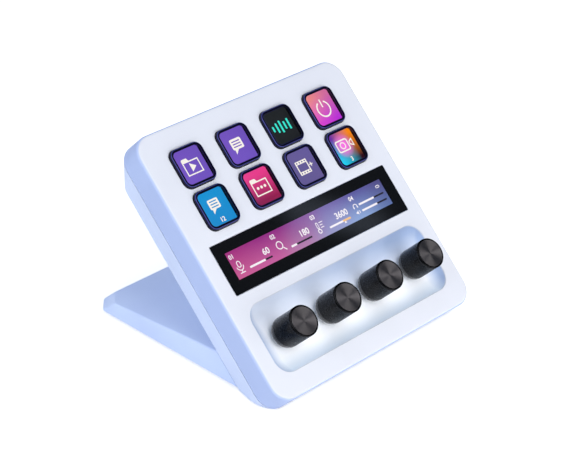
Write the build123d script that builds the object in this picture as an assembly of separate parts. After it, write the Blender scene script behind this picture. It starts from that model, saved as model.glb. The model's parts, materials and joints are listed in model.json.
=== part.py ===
from build123d import *
from math import cos, radians, sin, sqrt
import os

# Desk macro keypad: eight lit push keys, a touch strip and four push dials on a tilted head that is
# screwed to a wedge foot. Millimetres. It stands on its rubber pads at z = 0, the user is at -Y, and
# the origin is the middle of the outline on the desk.
#
# The head is modelled lying flat: x to the right, y up the face, z out of the face, with the middle
# of the face at zero. on_head() then tilts a piece to its place. Levels named *_z in the head part
# are heights above (+) or below (-) the face.

# ---- head shells ----
tilt = 43.4                 # face above the desk, degrees
head_width = 140.0
head_height = 138.5
head_corner = 10.0
face_rim = 1.6              # rounding round the face
wall = 2.2
front_depth = 12.5          # face to seam
seal_thickness = 0.4        # dark seal in the seam
seal_inset = 0.7            # how far the seal sits behind the outer walls
head_depth = 28.5           # face to back
back_in_side = 5.5          # back's edges in from the face's
back_in_top = 9.25
back_in_low = 3.25          # where the back's taper aims, below the flat underside
back_corner = 8.0
back_rim = 1.0
desk_gap = 0.85             # flat underside above the desk
register_height = 1.5       # rim of the rear shell inside the front shell
register_wall = 1.0
slip = 0.15                 # gap round a piece that drops into its seat

# ---- keys ----
key_columns = 4
key_rows = 2
key_side = 14.85            # outer keys in from the head's sides
key_pitch_y = 22.4
keys_y = 36.4               # middle of the key field
key_size = 20.0
key_corner = 4.0
key_gap = 0.3               # round a key in its hole
key_top_z = 1.7
key_edge = 0.75
key_skirt = 5.0             # key reaches this far below the face
key_travel = 1.3
key_flange = 0.45           # retaining rim of the key
key_flange_thickness = 0.8
key_window = 17.4
key_window_corner = 2.6
lens_drop = 0.2             # lens top below the key's rim
lens_fit = 0.05
lens_depth = 2.6

# ---- parts under the keys ----
guide_wall = 1.1
guide_gap = 0.25            # key flange to its pocket
guide_depth = 6.5
mat_thickness = 1.25
mat_window = 16.4
mat_window_corner = 2.2
dome_radius = 0.9
dome_height = 0.25
dome_offset = 8.5
stop_gap = 0.2              # pressed key to the domes
display_thickness = 2.0
display_margin = 1.6
backplate_thickness = 0.8
backplate_over = 1.0        # beyond the display
backplate_ear = 4.8         # width of the ears that reach the posts beside the keys
backplate_ear_y = 28.0
backplate_low_y = 10.4
backplate_low_x = 30.0

# ---- touch strip ----
strip_side = 9.25           # in from the head's sides
strip_height = 25.5
strip_y = -3.0
strip_corner = 0.6
glass_thickness = 1.5
glass_recess = 0.05         # glass below the face
strip_module_in_x = 4.25    # display in from the glass
strip_module_in_y = 3.5
strip_module_thickness = 2.5
strip_module_gap = 0.4
strip_ledge = 1.8

# ---- dials ----
dial_count = 4
dial_y = -40.6
dial_radius = 7.7
dial_top_z = 14.5
dial_travel = 0.5
dial_float = 0.4            # pressed dial above the floor of its trough
dial_foot_round = 3.0
dial_rim_chamfer = 0.35
dial_roof_z = 4.0           # top of the hollow round the nut
nut_gap = 0.3               # corners of the nut to the turning dial
dial_hub_radius = 4.5
cap_radius = 7.2
cap_thickness = 1.0
cap_proud = 0.25
trough_top = -22.3
trough_bottom = -58.2
trough_corner = 8.4
trough_depth = 4.8
trough_round = 8.5          # of the hollow sides, from the floor up to the face

# ---- encoders ----
shaft_radius = 3.0
shaft_flat = 2.45           # flat of the D shaft, from its axis
shaft_fit = 0.03
running_gap = 0.06
shaft_top_z = 10.5
bushing_radius = 3.5
bushing_above = 3.2         # bushing above the trough floor
bushing_gap = 0.15
nut_across = 9.0
nut_thickness = 2.0
nut_fit = 0.05
encoder_size = 12.0
encoder_corner = 1.0
encoder_height = 7.2
encoder_roof = 1.3
encoder_floor = 1.1
chamber_radius = 4.4
moving_gap = 0.4            # turning or sliding faces inside the encoder
collar_thickness = 0.8
collar_above_end = 0.9      # collar to the shaft's lower end
plunger_thickness = 1.2
plunger_gap = 0.05
dome_stud_radius = 1.5

# ---- boards ----
board_thickness = 1.6
encoder_board_end = 10.85   # beyond the outer dials' axes
encoder_board_height = 22.0
main_board_z = -18.0
main_board_side = 16.0      # in from the head's sides
main_board_height = 74.0
main_board_y = 17.0
main_board_screw_inset = 4.0
ribbon_thickness = 0.3
ribbon_width = 12.0
ribbon_slot = 0.6
ribbon_x = 22.0
ribbon_lap = 4.0            # flat end of the encoders' ribbon on the main board
display_ribbon_y = 20.0
chip_size = 12.0            # processor; the others are parts of it
chip_thickness = 1.2
coil_thickness = 2.4
connector_length = 14.0
connector_width = 4.0
connector_height = 1.8

# ---- screws and their posts ----
shell_screw_in_side = 9.8   # in from the head's sides and top
shell_screw_in_top = 19.25
shell_screw_low = -17.5
shell_post_radius = 2.6
small_screw_radius = 1.0
small_head_radius = 1.8
small_head_height = 1.4
screw_gap = 0.1
thread_length = 5.0
counterbore_depth = 2.0
small_post_radius = 2.0
foot_screw_in = 32.5        # in from the foot's sides
foot_screw_radius = 1.5
foot_head_radius = 2.5
foot_head_height = 1.7
foot_post_radius = 3.4

# ---- USB-C socket ----
socket_width = 8.94
socket_height = 3.26
socket_metal = 0.3
socket_depth = 6.2
socket_gap = 0.2
socket_y = 12.0
tongue_width = 6.7
tongue_thickness = 0.7

# ---- foot ----
foot_in_side = 5.5          # in from the head's sides
foot_length = 99.0          # along the desk, from the back of the head
foot_reach = 37.25          # top of the foot on the head's back, up from the head's lower edge
foot_rear_height = 7.0
foot_rear_run = 7.5         # slope of the rear face
foot_corner_x = 8.0
foot_corner_y = 8.0
foot_corner_round = 4.0
foot_rim = 0.8
foot_wall = 2.4
foot_lift = 1.8             # rear pad thickness
cover_thickness = 1.6
cover_lip = 1.3
ballast_in_side = 16.5      # in from the foot's sides
ballast_length = 54.0
ballast_thickness = 3.0
ballast_corner = 3.0
ballast_gap = 0.1
ballast_start = 17.0        # from the foot's front edge
cover_screw_in = 9.5        # in from the foot's sides
cover_screw_front = 22.0
cover_screw_rear = 78.0
pad_width = 18.0
pad_length = 8.0
pad_in = 18.5               # in from the foot's sides
rear_pad_front = 12.0       # from the foot's front edge
rear_pad_rear = 84.0
front_pad_back = 13.0       # ahead of the foot's front edge

# ---- worked out from the sizes above ----
slope_y = cos(radians(tilt))    # one millimetre up the face, along the desk
slope_z = sin(radians(tilt))    # one millimetre up the face, above the desk

back_width = head_width - 2 * back_in_side
back_top = head_height / 2 - back_in_top
back_low = back_in_low - head_height / 2
key_pitch_x = (head_width - 2 * key_side - key_size) / (key_columns - 1)
strip_width = head_width - 2 * strip_side
trough_width = strip_width
dial_pitch = key_pitch_x
shell_screw_x = head_width / 2 - shell_screw_in_side
shell_screw_high = head_height / 2 - shell_screw_in_top
main_board_width = head_width - 2 * main_board_side
encoder_board_width = dial_pitch * (dial_count - 1) + 2 * encoder_board_end
foot_width = head_width - 2 * foot_in_side
foot_joint = foot_reach - head_height / 2
foot_screw_x = foot_width / 2 - foot_screw_in
cover_screw_x = foot_width / 2 - cover_screw_in
pad_x = foot_width / 2 - pad_in

seam_z = -front_depth
rear_z = seam_z - seal_thickness
back_z = -head_depth
face_height = desk_gap + head_height / 2 * slope_z + front_depth * slope_y
foot_bottom = foot_lift


def up_back(height):
    """Distance up the face at which the plane of the head's back is this high above the desk."""
    return (height - face_height - back_z * slope_y) / slope_z


foot_front_y = up_back(foot_bottom) * slope_y - back_z * slope_z
front_reach = -(head_height / 2 - face_rim) * slope_y + face_rim * slope_z - face_rim
rear_reach = foot_front_y + foot_length
face_y = -(front_reach + rear_reach) / 2
foot_start = foot_front_y + face_y
head = Plane(origin=(0, face_y, face_height), x_dir=(1, 0, 0), z_dir=(0, -slope_z, slope_y))

key_places = [
    (key_pitch_x * (column - (key_columns - 1) / 2),
     keys_y + key_pitch_y * ((key_rows - 1) / 2 - row))
    for row in range(key_rows)
    for column in range(key_columns)
]
dial_places = [(dial_pitch * (place - (dial_count - 1) / 2), dial_y) for place in range(dial_count)]

mat_top_z = -key_skirt - key_travel - stop_gap - dome_height
display_z = mat_top_z - mat_thickness
backplate_z = display_z - display_thickness
field_width = key_pitch_x * (key_columns - 1) + key_size
field_height = key_pitch_y * (key_rows - 1) + key_size
pocket_size = key_size + 2 * (key_flange + guide_gap)
guide_width = field_width + pocket_size - key_size + 2 * guide_wall
guide_height = field_height + pocket_size - key_size + 2 * guide_wall
display_width = field_width + 2 * display_margin - (key_size - mat_window)
display_height = field_height + 2 * display_margin - (key_size - mat_window)

strip_seat_z = -glass_recess - glass_thickness
trough_z = -trough_depth
trough_height = trough_top - trough_bottom
trough_y = (trough_top + trough_bottom) / 2
trough_run = sqrt(trough_round ** 2 - (trough_round - trough_depth) ** 2)   # floor's edge to the rim
trough_under_z = trough_z - wall
dial_bottom_z = trough_z + dial_travel + dial_float
encoder_board_z = trough_under_z - encoder_height
chamber_top_z = trough_under_z - encoder_roof
chamber_bottom_z = encoder_board_z + encoder_floor
collar_top_z = chamber_top_z - moving_gap
shaft_end_z = collar_top_z - collar_thickness - collar_above_end
plunger_z = shaft_end_z - plunger_gap
inner_back_z = back_z + wall
board_back_z = main_board_z - board_thickness
foot_screw_y = (foot_joint + up_back(foot_bottom)) / 2
shell_screws = [
    (side * shell_screw_x, y)
    for side in (-1, 1)
    for y in (shell_screw_high, shell_screw_low)
]
backplate_screws = [
    (side * x, y)
    for side in (-1, 1)
    for x, y in ((shell_screw_x, backplate_ear_y), (backplate_low_x, backplate_low_y))
]
encoder_screws = [(dial_pitch * place, dial_y) for place in (-1, 0, 1)]
board_screws = [
    (side * (main_board_width / 2 - main_board_screw_inset),
     main_board_y + end * (main_board_height / 2 - main_board_screw_inset))
    for side in (-1, 1)
    for end in (-1, 1)
]
foot_screws = [(side * foot_screw_x, foot_screw_y) for side in (-1, 1)]
cover_screws = [
    (side * cover_screw_x, foot_start + y)
    for side in (-1, 1)
    for y in (cover_screw_front, cover_screw_rear)
]


# ---- helpers ----
def slab(width, height, corner, top, bottom, x=0.0, y=0.0):
    """Rounded rectangular block between two levels."""
    outline = Pos(x, y, bottom) * RectangleRounded(width, height, corner)
    return extrude(outline, top - bottom, dir=(0, 0, 1))


def slot(width, height, top, bottom, x=0.0, y=0.0):
    """Block with fully round ends between two levels."""
    return extrude(Pos(x, y, bottom) * SlotOverall(width, height), top - bottom, dir=(0, 0, 1))


def block(width, height, top, bottom, x=0.0, y=0.0):
    """Square-cornered block between two levels."""
    return Pos(x, y, (top + bottom) / 2) * Box(width, height, top - bottom)


def rod(radius, top, bottom, x=0.0, y=0.0):
    """Round bar between two levels."""
    return Pos(x, y, (top + bottom) / 2) * Cylinder(radius, top - bottom)


def rods(places, radius, top, bottom):
    """The same round bar at several places."""
    return [rod(radius, top, bottom, x, y) for x, y in places]


def on_head(piece):
    """Tilt a piece of the head from its flat drawing to its place."""
    return head * piece


def save(name, piece):
    """Write one node."""
    export_step(piece, f"parts/{name}.step")


def group(pieces):
    """Separate solids of one node."""
    return Compound(children=[solid for piece in pieces for solid in piece.solids()])


def screw(x, y, seat, end, radius, head_radius, head_height, way):
    """Cap screw: its head stands on the seat, on the side that way (+1 up, -1 down) points to."""
    crown = seat + way * head_height
    socket_floor = seat + way * head_height / 2
    body = rod(radius, max(seat, end), min(seat, end), x, y)
    body += rod(head_radius, max(seat, crown), min(seat, crown), x, y)
    return body - rod(head_radius / 2, max(crown, socket_floor), min(crown, socket_floor), x, y)


def small_screw(x, y, seat, way):
    """Small screw with its thread length below its seat."""
    end = seat - way * thread_length
    return screw(x, y, seat, end, small_screw_radius, small_head_radius, small_head_height, way)


def below(height):
    """Everything lower than a height above the desk, as a cutter in the world."""
    reach = 4 * head_width
    return Pos(0, 0, height - reach / 2) * Box(reach, reach, reach)


# ---- head shells ----
def trough(grow):
    """Dished space round the dials, or the outside of its wall where it is grown by the wall."""
    reach = trough_round - trough_run + grow
    radius = trough_round + grow
    floor_z = trough_z - grow
    width = trough_width + 2 * reach
    height = trough_height + 2 * reach
    dish = slab(width, height, trough_corner + reach, radius, floor_z, 0, trough_y)
    dish = fillet(dish.edges().group_by(Axis.Z)[0], radius)
    return dish & block(head_width, head_height, 0, floor_z)


def make_front_shell():
    outer = slab(head_width, head_height, head_corner, 0, seam_z)
    outer = fillet(outer.edges().group_by(Axis.Z)[-1], face_rim)
    inner_corner = head_corner - wall
    shell = outer - slab(head_width - 2 * wall, head_height - 2 * wall, inner_corner, -wall, seam_z)
    shell += trough(wall)
    ledge_depth = strip_seat_z - strip_ledge
    shell += block(strip_width + 2 * wall, strip_height + 2 * wall, -wall, ledge_depth, 0, strip_y)
    shell += rods(shell_screws, shell_post_radius, -wall, seam_z)
    shell += rods(backplate_screws, small_post_radius, -wall, backplate_z)
    shell += rods(encoder_screws, small_post_radius, trough_under_z, encoder_board_z)
    shell -= trough(0)
    hole = key_size + 2 * key_gap
    for x, y in key_places:
        shell -= slab(hole, hole, key_corner + key_gap, 0, -wall, x, y)
    seat_width = strip_width + 2 * slip
    seat_height = strip_height + 2 * slip
    shell -= slab(seat_width, seat_height, strip_corner + slip, 0, strip_seat_z, 0, strip_y)
    window_width = strip_width - 2 * (strip_module_in_x - strip_module_gap)
    window_height = strip_height - 2 * (strip_module_in_y - strip_module_gap)
    shell -= block(window_width, window_height, 0, ledge_depth, 0, strip_y)
    shell -= rods(dial_places, bushing_radius + bushing_gap, trough_z, trough_under_z)
    bore = small_screw_radius + screw_gap
    shell -= rods(shell_screws, bore, seam_z + thread_length, seam_z)
    shell -= rods(backplate_screws, bore, backplate_z + thread_length, backplate_z)
    shell -= rods(encoder_screws, bore, encoder_board_z + thread_length, encoder_board_z)
    return shell


def rear_taper(inset, bottom):
    """Tapered block behind the seam, shrunk all round by an inset."""
    front = RectangleRounded(head_width - 2 * inset, head_height - 2 * inset, head_corner - inset)
    back_height = back_top - back_low
    back = RectangleRounded(back_width - 2 * inset, back_height - 2 * inset, back_corner - inset)
    back_middle = (back_top + back_low) / 2
    outlines = [Pos(0, 0, rear_z) * front, Pos(0, back_middle, bottom) * back]
    return loft([outline.face() for outline in outlines], ruled=True)


def make_rear_shell():
    underside = desk_gap
    outer = rear_taper(0, back_z)
    outer = fillet(outer.edges().group_by(Axis.Z)[0], back_rim)
    posts = rods(shell_screws, shell_post_radius, rear_z, inner_back_z)
    posts += rods(board_screws, small_post_radius, board_back_z, inner_back_z)
    posts += rods(foot_screws, foot_post_radius, inner_back_z + thread_length, inner_back_z)
    outside = on_head(outer) - below(underside)
    shell = outside - (on_head(rear_taper(wall, inner_back_z)) - below(underside + wall))
    rim_top = seam_z + register_height
    rim_width = head_width - 2 * wall - 2 * slip
    rim_height = head_height - 2 * wall - 2 * slip
    rim_corner = head_corner - wall - slip
    rim = slab(rim_width, rim_height, rim_corner, rim_top, rear_z - wall)
    rim -= slab(
        rim_width - 2 * register_wall, rim_height - 2 * register_wall, rim_corner - register_wall,
        rim_top, rear_z - wall,
    )
    rim -= rods(shell_screws, shell_post_radius + slip, rim_top, seam_z)
    shell += on_head(rim) - below(underside)
    shell += [on_head(post) & outside for post in posts]
    bore = small_screw_radius + screw_gap
    cuts = rods(shell_screws, bore, rear_z, back_z)
    cuts += rods(shell_screws, small_head_radius + screw_gap, back_z + counterbore_depth, back_z)
    cuts += rods(board_screws, bore, board_back_z, board_back_z - thread_length)
    cuts += rods(foot_screws, foot_screw_radius + screw_gap, inner_back_z + thread_length, back_z)
    slot_width = socket_width + 2 * socket_gap
    slot_height = socket_height + 2 * socket_gap
    cuts += [slot(slot_width, slot_height, inner_back_z, back_z, 0, socket_y)]
    for cut in cuts:
        shell -= on_head(cut)
    return shell


def make_seam_seal():
    outer_width = head_width - 2 * seal_inset
    outer_height = head_height - 2 * seal_inset
    inner_width = head_width - 2 * wall
    inner_height = head_height - 2 * wall
    ring = slab(outer_width, outer_height, head_corner - seal_inset, seam_z, rear_z)
    ring -= slab(inner_width, inner_height, head_corner - wall, seam_z, rear_z)
    return ring


# ---- keys ----
def make_key_cap(x, y):
    cap = slab(key_size, key_size, key_corner, key_top_z, -key_skirt, x, y)
    cap = fillet(cap.edges().group_by(Axis.Z)[-1], key_edge)
    flange_top = -wall - key_gap
    flange_size = key_size + 2 * key_flange
    flange_bottom = flange_top - key_flange_thickness
    cap += slab(flange_size, flange_size, key_corner + key_flange, flange_top, flange_bottom, x, y)
    return cap - slab(key_window, key_window, key_window_corner, key_top_z, -key_skirt, x, y)


def make_key_lens(x, y):
    size = key_window - 2 * lens_fit
    top = key_top_z - lens_drop
    lens = slab(size, size, key_window_corner - lens_fit, top, top - lens_depth, x, y)
    return chamfer(lens.edges().group_by(Axis.Z)[-1], lens_drop)


def make_key_guide():
    corner = key_corner + key_flange + guide_gap
    guide = slab(guide_width, guide_height, corner, -wall, display_z, 0, keys_y)
    for x, y in key_places:
        guide -= slab(pocket_size, pocket_size, corner, -wall, -guide_depth, x, y)
    return guide - block(
        guide_width - 2 * guide_wall, guide_height - 2 * guide_wall, -guide_depth, display_z, 0, keys_y
    )


def make_key_mat():
    width = guide_width - 2 * (guide_wall + slip)
    height = guide_height - 2 * (guide_wall + slip)
    mat = block(width, height, mat_top_z, display_z, 0, keys_y)
    for x, y in key_places:
        mat -= slab(mat_window, mat_window, mat_window_corner, mat_top_z, display_z, x, y)
        for side in (-1, 1):
            for end in (-1, 1):
                dome_x = x + side * dome_offset
                dome_y = y + end * dome_offset
                mat += rod(dome_radius, mat_top_z + dome_height, mat_top_z, dome_x, dome_y)
    return mat


def make_key_display():
    return block(display_width, display_height, display_z, backplate_z, 0, keys_y)


def make_display_backplate():
    """Sheet behind the key display, with a lower edge and two ears for its screws."""
    under_z = backplate_z - backplate_thickness
    top = keys_y + display_height / 2 + backplate_over
    bottom = backplate_low_y - backplate_ear / 2
    width = display_width + 2 * backplate_over
    ears_width = 2 * shell_screw_x + backplate_ear
    plate = block(width, top - bottom, backplate_z, under_z, 0, (top + bottom) / 2)
    plate += block(ears_width, backplate_ear, backplate_z, under_z, 0, backplate_ear_y)
    plate -= rods(backplate_screws, small_screw_radius + screw_gap, backplate_z, under_z)
    slot_width = ribbon_width + 2 * ribbon_slot
    slot_height = ribbon_thickness + 2 * ribbon_slot
    return plate - block(slot_width, slot_height, backplate_z, under_z, -ribbon_x, display_ribbon_y)


# ---- touch strip ----
def make_strip_glass():
    return slab(strip_width, strip_height, strip_corner, -glass_recess, strip_seat_z, 0, strip_y)


def make_strip_display():
    under_z = strip_seat_z - strip_module_thickness
    width = strip_width - 2 * strip_module_in_x
    height = strip_height - 2 * strip_module_in_y
    return block(width, height, strip_seat_z, under_z, 0, strip_y)


# ---- dials ----
def d_bar(radius, flat, top, bottom, x, y):
    """Round bar with one flat on its +y side."""
    return rod(radius, top, bottom, x, y) - block(2 * radius, radius, top, bottom, x, y + flat + radius / 2)


def make_dial(x, y):
    top = dial_top_z - cap_proud
    body = rod(dial_radius, top, dial_bottom_z, x, y)
    body = fillet(body.edges().group_by(Axis.Z)[0], dial_foot_round)
    body = chamfer(body.edges().group_by(Axis.Z)[-1], dial_rim_chamfer)
    nut_reach = nut_across / 2 / cos(radians(30))
    body -= rod(nut_reach + nut_gap, dial_roof_z, dial_bottom_z, x, y)
    bushing_top = trough_z + bushing_above
    hub_bottom = bushing_top + dial_travel + dial_float
    body += rod(dial_hub_radius, dial_roof_z, hub_bottom, x, y)
    body -= rod(cap_radius + lens_fit, top, dial_top_z - cap_thickness, x, y)
    return body - d_bar(shaft_radius + shaft_fit, shaft_flat + shaft_fit, shaft_top_z, hub_bottom, x, y)


def make_dial_cap(x, y):
    cap = rod(cap_radius, dial_top_z, dial_top_z - cap_thickness, x, y)
    return chamfer(cap.edges().group_by(Axis.Z)[-1], cap_proud)


def make_shaft(x, y):
    flat_bottom = trough_z + bushing_above
    shaft = rod(shaft_radius, flat_bottom, shaft_end_z, x, y)
    shaft += d_bar(shaft_radius, shaft_flat, shaft_top_z, flat_bottom, x, y)
    collar_radius = chamber_radius - moving_gap
    return shaft + rod(collar_radius, collar_top_z, collar_top_z - collar_thickness, x, y)


def make_plunger(x, y):
    return rod(chamber_radius - moving_gap, plunger_z, plunger_z - plunger_thickness, x, y)


def make_encoder_housing(x, y):
    housing = slab(encoder_size, encoder_size, encoder_corner, trough_under_z, encoder_board_z, x, y)
    housing += rod(bushing_radius, trough_z + bushing_above, trough_under_z, x, y)
    housing -= rod(shaft_radius + running_gap, trough_z + bushing_above, chamber_top_z, x, y)
    housing -= rod(chamber_radius, chamber_top_z, chamber_bottom_z, x, y)
    stud_top = plunger_z - plunger_thickness - dial_travel - plunger_gap
    return housing + rod(dome_stud_radius, stud_top, chamber_bottom_z, x, y)


def make_nut(x, y):
    across = Pos(x, y, trough_z) * RegularPolygon(nut_across / 2, 6, major_radius=False)
    nut = extrude(across, nut_thickness, dir=(0, 0, 1))
    return nut - rod(bushing_radius + nut_fit, trough_z + nut_thickness, trough_z, x, y)


# ---- boards and what is on them ----
def make_encoder_board():
    under_z = encoder_board_z - board_thickness
    board = block(encoder_board_width, encoder_board_height, encoder_board_z, under_z, 0, dial_y)
    return board - rods(encoder_screws, small_screw_radius + screw_gap, encoder_board_z, under_z)


def make_main_board():
    board = block(main_board_width, main_board_height, main_board_z, board_back_z, 0, main_board_y)
    return board - rods(board_screws, small_screw_radius + screw_gap, main_board_z, board_back_z)


def make_board_chips():
    """Processor, memory, hub, coil and three ribbon connectors on the back of the main board."""
    chip_y = main_board_y + main_board_height / 5
    processor_x = -main_board_width / 6
    hub_x = main_board_width / 6
    chips = [
        block(chip_size, chip_size, board_back_z, board_back_z - chip_thickness, processor_x, chip_y),
        block(0.75 * chip_size, 0.6 * chip_size, board_back_z, board_back_z - chip_thickness,
              2 * processor_x, chip_y),
        block(0.6 * chip_size, 0.6 * chip_size, board_back_z, board_back_z - chip_thickness,
              hub_x, chip_y),
        block(chip_size / 2, chip_size / 2, board_back_z, board_back_z - coil_thickness,
              2 * hub_x, chip_y),
    ]
    low_y = main_board_y - main_board_height / 2 + chip_size / 2
    for x, y in ((ribbon_x, strip_y), (-ribbon_x, display_ribbon_y - chip_size), (0, low_y)):
        under_z = board_back_z - connector_height
        chips.append(block(connector_length, connector_width, board_back_z, under_z, x, y))
    return group(chips)


def make_ribbons():
    """Flat cables: key display to main board, strip to main board, and encoder board to main board."""
    strip_back_z = strip_seat_z - strip_module_thickness
    encoder_back_z = encoder_board_z - board_thickness
    low_edge = main_board_y - main_board_height / 2
    encoder_low = low_edge - 3 * ribbon_lap
    from_encoders = block(
        ribbon_width, 3 * ribbon_lap, encoder_back_z, encoder_back_z - ribbon_thickness,
        0, encoder_low + 1.5 * ribbon_lap,
    )
    down = block(ribbon_width, ribbon_thickness, encoder_back_z, main_board_z, 0, low_edge)
    along_top = main_board_z + ribbon_thickness
    along = block(ribbon_width, ribbon_lap, along_top, main_board_z, 0, low_edge + ribbon_lap / 2)
    return group([
        block(ribbon_width, ribbon_thickness, backplate_z, main_board_z, -ribbon_x, display_ribbon_y),
        block(ribbon_width, ribbon_thickness, strip_back_z, main_board_z, ribbon_x, strip_y),
        from_encoders + down + along,
    ])


def make_usb_socket():
    mouth_z = back_z
    floor_z = mouth_z + socket_depth
    inner_width = socket_width - 2 * socket_metal
    inner_height = socket_height - 2 * socket_metal
    socket = slot(socket_width, socket_height, board_back_z, mouth_z, 0, socket_y)
    socket -= slot(inner_width, inner_height, floor_z, mouth_z, 0, socket_y)
    return socket + block(tongue_width, tongue_thickness, floor_z, mouth_z + socket_metal, 0, socket_y)


# ---- foot ----
def foot_plan(height, inset):
    """Outline of the foot at a height above its underside, seen from above."""
    half = foot_width / 2 - inset
    rear = foot_start + foot_length - height * foot_rear_run / foot_rear_height - inset
    front = foot_start - foot_rear_height
    outline = make_face(Polyline(
        (-half, front), (half, front), (half, rear - foot_corner_y), (half - foot_corner_x, rear),
        (-half + foot_corner_x, rear), (-half, rear - foot_corner_y), close=True,
    ))
    outline = fillet(outline.vertices().filter_by(lambda corner: corner.Y > front + 1), foot_corner_round)
    return Pos(0, 0, foot_bottom + height) * outline


def foot_block(inset):
    """Wedge of the foot, shrunk by an inset on every side but its underside."""
    peak = foot_joint * slope_z + back_z * slope_y + face_height
    peak_y = foot_joint * slope_y - back_z * slope_z + face_y
    rear = foot_start + foot_length
    low = foot_bottom - inset
    side = make_face(Polyline(
        (foot_start - inset * slope_y / slope_z, low), (peak_y, peak),
        (rear - foot_rear_run, foot_bottom + foot_rear_height),
        (rear + inset * foot_rear_run / foot_rear_height, low), close=True,
    ))
    if inset:
        side = offset(side, -inset, kind=Kind.INTERSECTION)
    outlines = [foot_plan(0, inset), foot_plan(peak - foot_bottom, inset)]
    body = loft([outline.face() for outline in outlines], ruled=True)
    return body & extrude(Plane.YZ * side, foot_width, both=True)


def make_stand_foot():
    outer = foot_block(0)
    upper = [
        edge for edge in outer.edges()
        if edge.center().Z > foot_bottom + foot_rear_height / 2 and abs(edge.tangent_at(0.5).Z) < slope_z / 2
    ]
    outer = fillet(upper, foot_rim)
    hollow = foot_block(foot_wall)
    cover_hole = make_cover_plate(cover_lip)
    foot = outer - hollow - cover_hole
    cover_top = foot_bottom + cover_thickness
    foot += [post & outer for post in rods(cover_screws, small_post_radius, head_depth, cover_top)]
    foot -= rods(cover_screws, small_screw_radius + screw_gap, cover_top + thread_length, cover_top)
    through = back_z - 2 * foot_wall
    for cut in rods(foot_screws, foot_screw_radius + screw_gap, back_z, through):
        foot -= on_head(cut)
    return foot


def make_cover_plate(inset):
    """Plate that closes the foot from below."""
    front_inset = inset + cover_thickness / slope_z * slope_y
    plate = extrude(foot_plan(0, inset), cover_thickness, dir=(0, 0, 1))
    return plate & block(
        foot_width, foot_length, foot_bottom + cover_thickness, foot_bottom,
        0, foot_start + front_inset + foot_length / 2,
    )


def make_foot_cover():
    plate = make_cover_plate(cover_lip + slip)
    top = foot_bottom + cover_thickness
    plate -= rods(cover_screws, small_screw_radius + screw_gap, top, foot_bottom)
    head_top = foot_bottom + small_head_height / 2
    return plate - rods(cover_screws, small_head_radius + screw_gap, head_top, foot_bottom)


def make_ballast():
    bottom = foot_bottom + cover_thickness + ballast_gap
    middle = foot_start + ballast_start + ballast_length / 2
    top = bottom + ballast_thickness
    width = foot_width - 2 * ballast_in_side
    return slab(width, ballast_length, ballast_corner, top, bottom, 0, middle)


def make_pads(places, top):
    return group([slot(pad_width, pad_length, top, 0, x, y) for x, y in places])


def write_parts():
    os.makedirs("parts", exist_ok=True)
    save("front_shell", on_head(make_front_shell()))
    save("rear_shell", make_rear_shell())
    save("seam_seal", on_head(make_seam_seal()))
    save("key_guide", on_head(make_key_guide()))
    save("key_mat", on_head(make_key_mat()))
    save("key_display", on_head(make_key_display()))
    save("display_backplate", on_head(make_display_backplate()))
    save("strip_glass", on_head(make_strip_glass()))
    save("strip_display", on_head(make_strip_display()))
    save("main_board", on_head(make_main_board()))
    save("board_chips", on_head(make_board_chips()))
    save("encoder_board", on_head(make_encoder_board()))
    save("ribbon_cables", on_head(make_ribbons()))
    save("usb_c_socket", on_head(make_usb_socket()))
    for number, (x, y) in enumerate(key_places, 1):
        save(f"key_cap_{number}", on_head(make_key_cap(x, y)))
        save(f"key_lens_{number}", on_head(make_key_lens(x, y)))
    for number, (x, y) in enumerate(dial_places, 1):
        save(f"dial_{number}", on_head(make_dial(x, y)))
        save(f"dial_cap_{number}", on_head(make_dial_cap(x, y)))
        save(f"dial_shaft_{number}", on_head(make_shaft(x, y)))
        save(f"dial_plunger_{number}", on_head(make_plunger(x, y)))
    save("encoder_housings", on_head(group([make_encoder_housing(x, y) for x, y in dial_places])))
    save("encoder_nuts", on_head(group([make_nut(x, y) for x, y in dial_places])))
    seat = back_z + counterbore_depth
    save("shell_screws", on_head(group([
        screw(x, y, seat, seam_z + thread_length - screw_gap, small_screw_radius, small_head_radius,
              small_head_height, -1)
        for x, y in shell_screws
    ])))
    under_plate = backplate_z - backplate_thickness
    under_encoders = encoder_board_z - board_thickness
    inner_screws = [small_screw(x, y, under_plate, -1) for x, y in backplate_screws]
    inner_screws += [small_screw(x, y, under_encoders, -1) for x, y in encoder_screws]
    inner_screws += [small_screw(x, y, main_board_z, 1) for x, y in board_screws]
    save("board_screws", on_head(group(inner_screws)))
    foot_seat = back_z - foot_wall
    save("foot_screws", on_head(group([
        screw(x, y, foot_seat, inner_back_z + thread_length, foot_screw_radius, foot_head_radius,
              foot_head_height, -1)
        for x, y in foot_screws
    ])))
    save("stand_foot", make_stand_foot())
    save("foot_cover", make_foot_cover())
    save("ballast_plate", make_ballast())
    cover_seat = foot_bottom + small_head_height / 2
    save("cover_screws", group([
        screw(x, y, cover_seat, cover_seat + thread_length, small_screw_radius, small_head_radius,
              small_head_height / 2, -1)
        for x, y in cover_screws
    ]))
    rear_places = [
        (side * pad_x, foot_start + y)
        for side in (-1, 1)
        for y in (rear_pad_front, rear_pad_rear)
    ]
    save("rear_pads", make_pads(rear_places, foot_bottom))
    front_places = [(side * pad_x, foot_start - front_pad_back) for side in (-1, 1)]
    save("front_pads", make_pads(front_places, desk_gap))


write_parts()
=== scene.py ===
import json
from functools import cached_property
from math import cos, pi, radians, sin

import bmesh
import bpy
from bpy.props import FloatProperty, FloatVectorProperty, IntProperty, PointerProperty
from bpy.types import Operator, Panel, PropertyGroup
from mathutils import Matrix, Vector


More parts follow.
